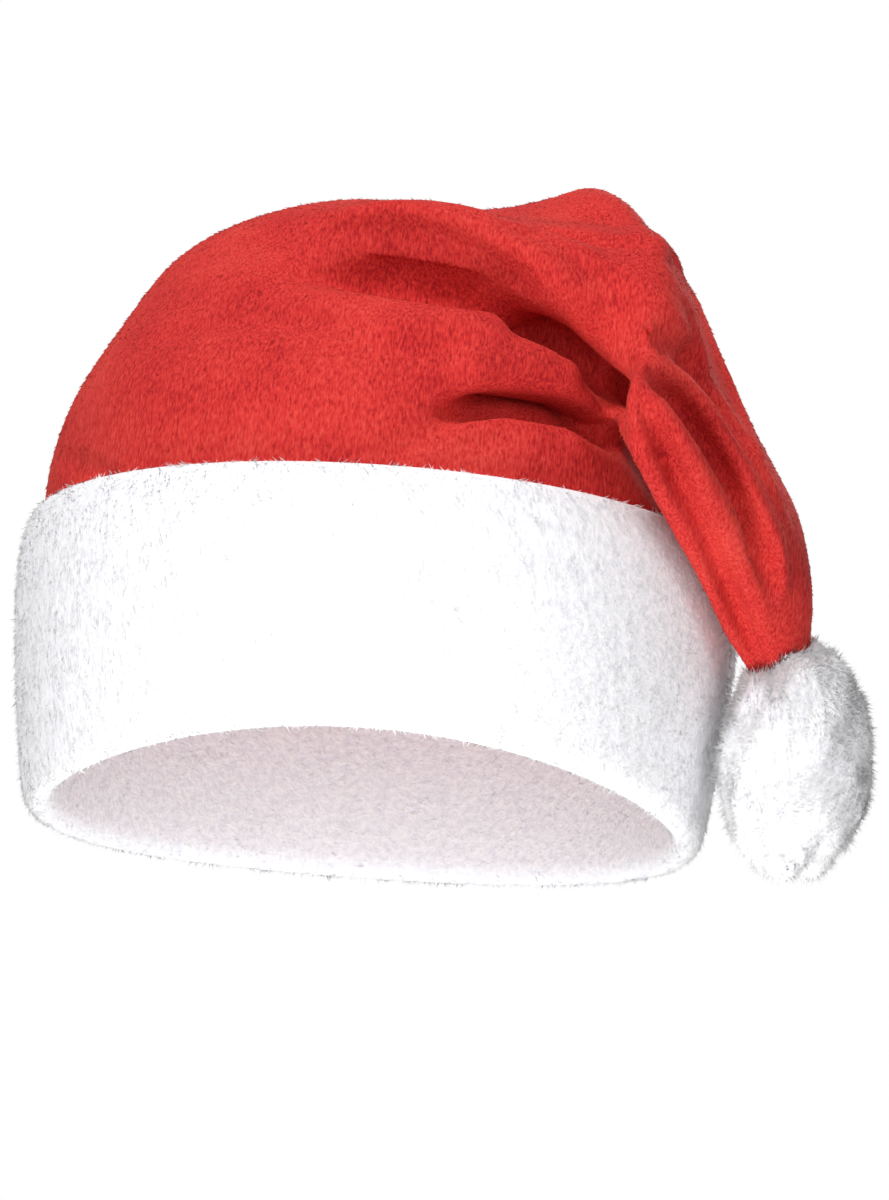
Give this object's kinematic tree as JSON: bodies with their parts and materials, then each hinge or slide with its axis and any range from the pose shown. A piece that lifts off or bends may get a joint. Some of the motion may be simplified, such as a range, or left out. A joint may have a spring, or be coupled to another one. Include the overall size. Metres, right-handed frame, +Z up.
{
  "type": "santa hat",
  "caption": "Worn plush santa hat: padded white brim round an open head hole, folded red crown and a tail hanging at the side to a white pompom.",
  "frame": {"origin": "middle of the head opening, level with the rim at the hat's sides", "axes": "+Z up through the crown, -Y to the wearer's front, +X to the side the tail hangs on"},
  "size_m": [0.2664, 0.2346, 0.2287],
  "materials": {
    "red_plush": "short-pile plush with a soft sheen",
    "white_plush": "dense matt white plush over padding",
    "white_pile": "fluffy matt white pile in soft locks"
  },
  "bodies": {
    "root": {"crown": "red_plush", "brim": "white_plush", "pompom": "white_pile"}
  },
  "joints": []
}
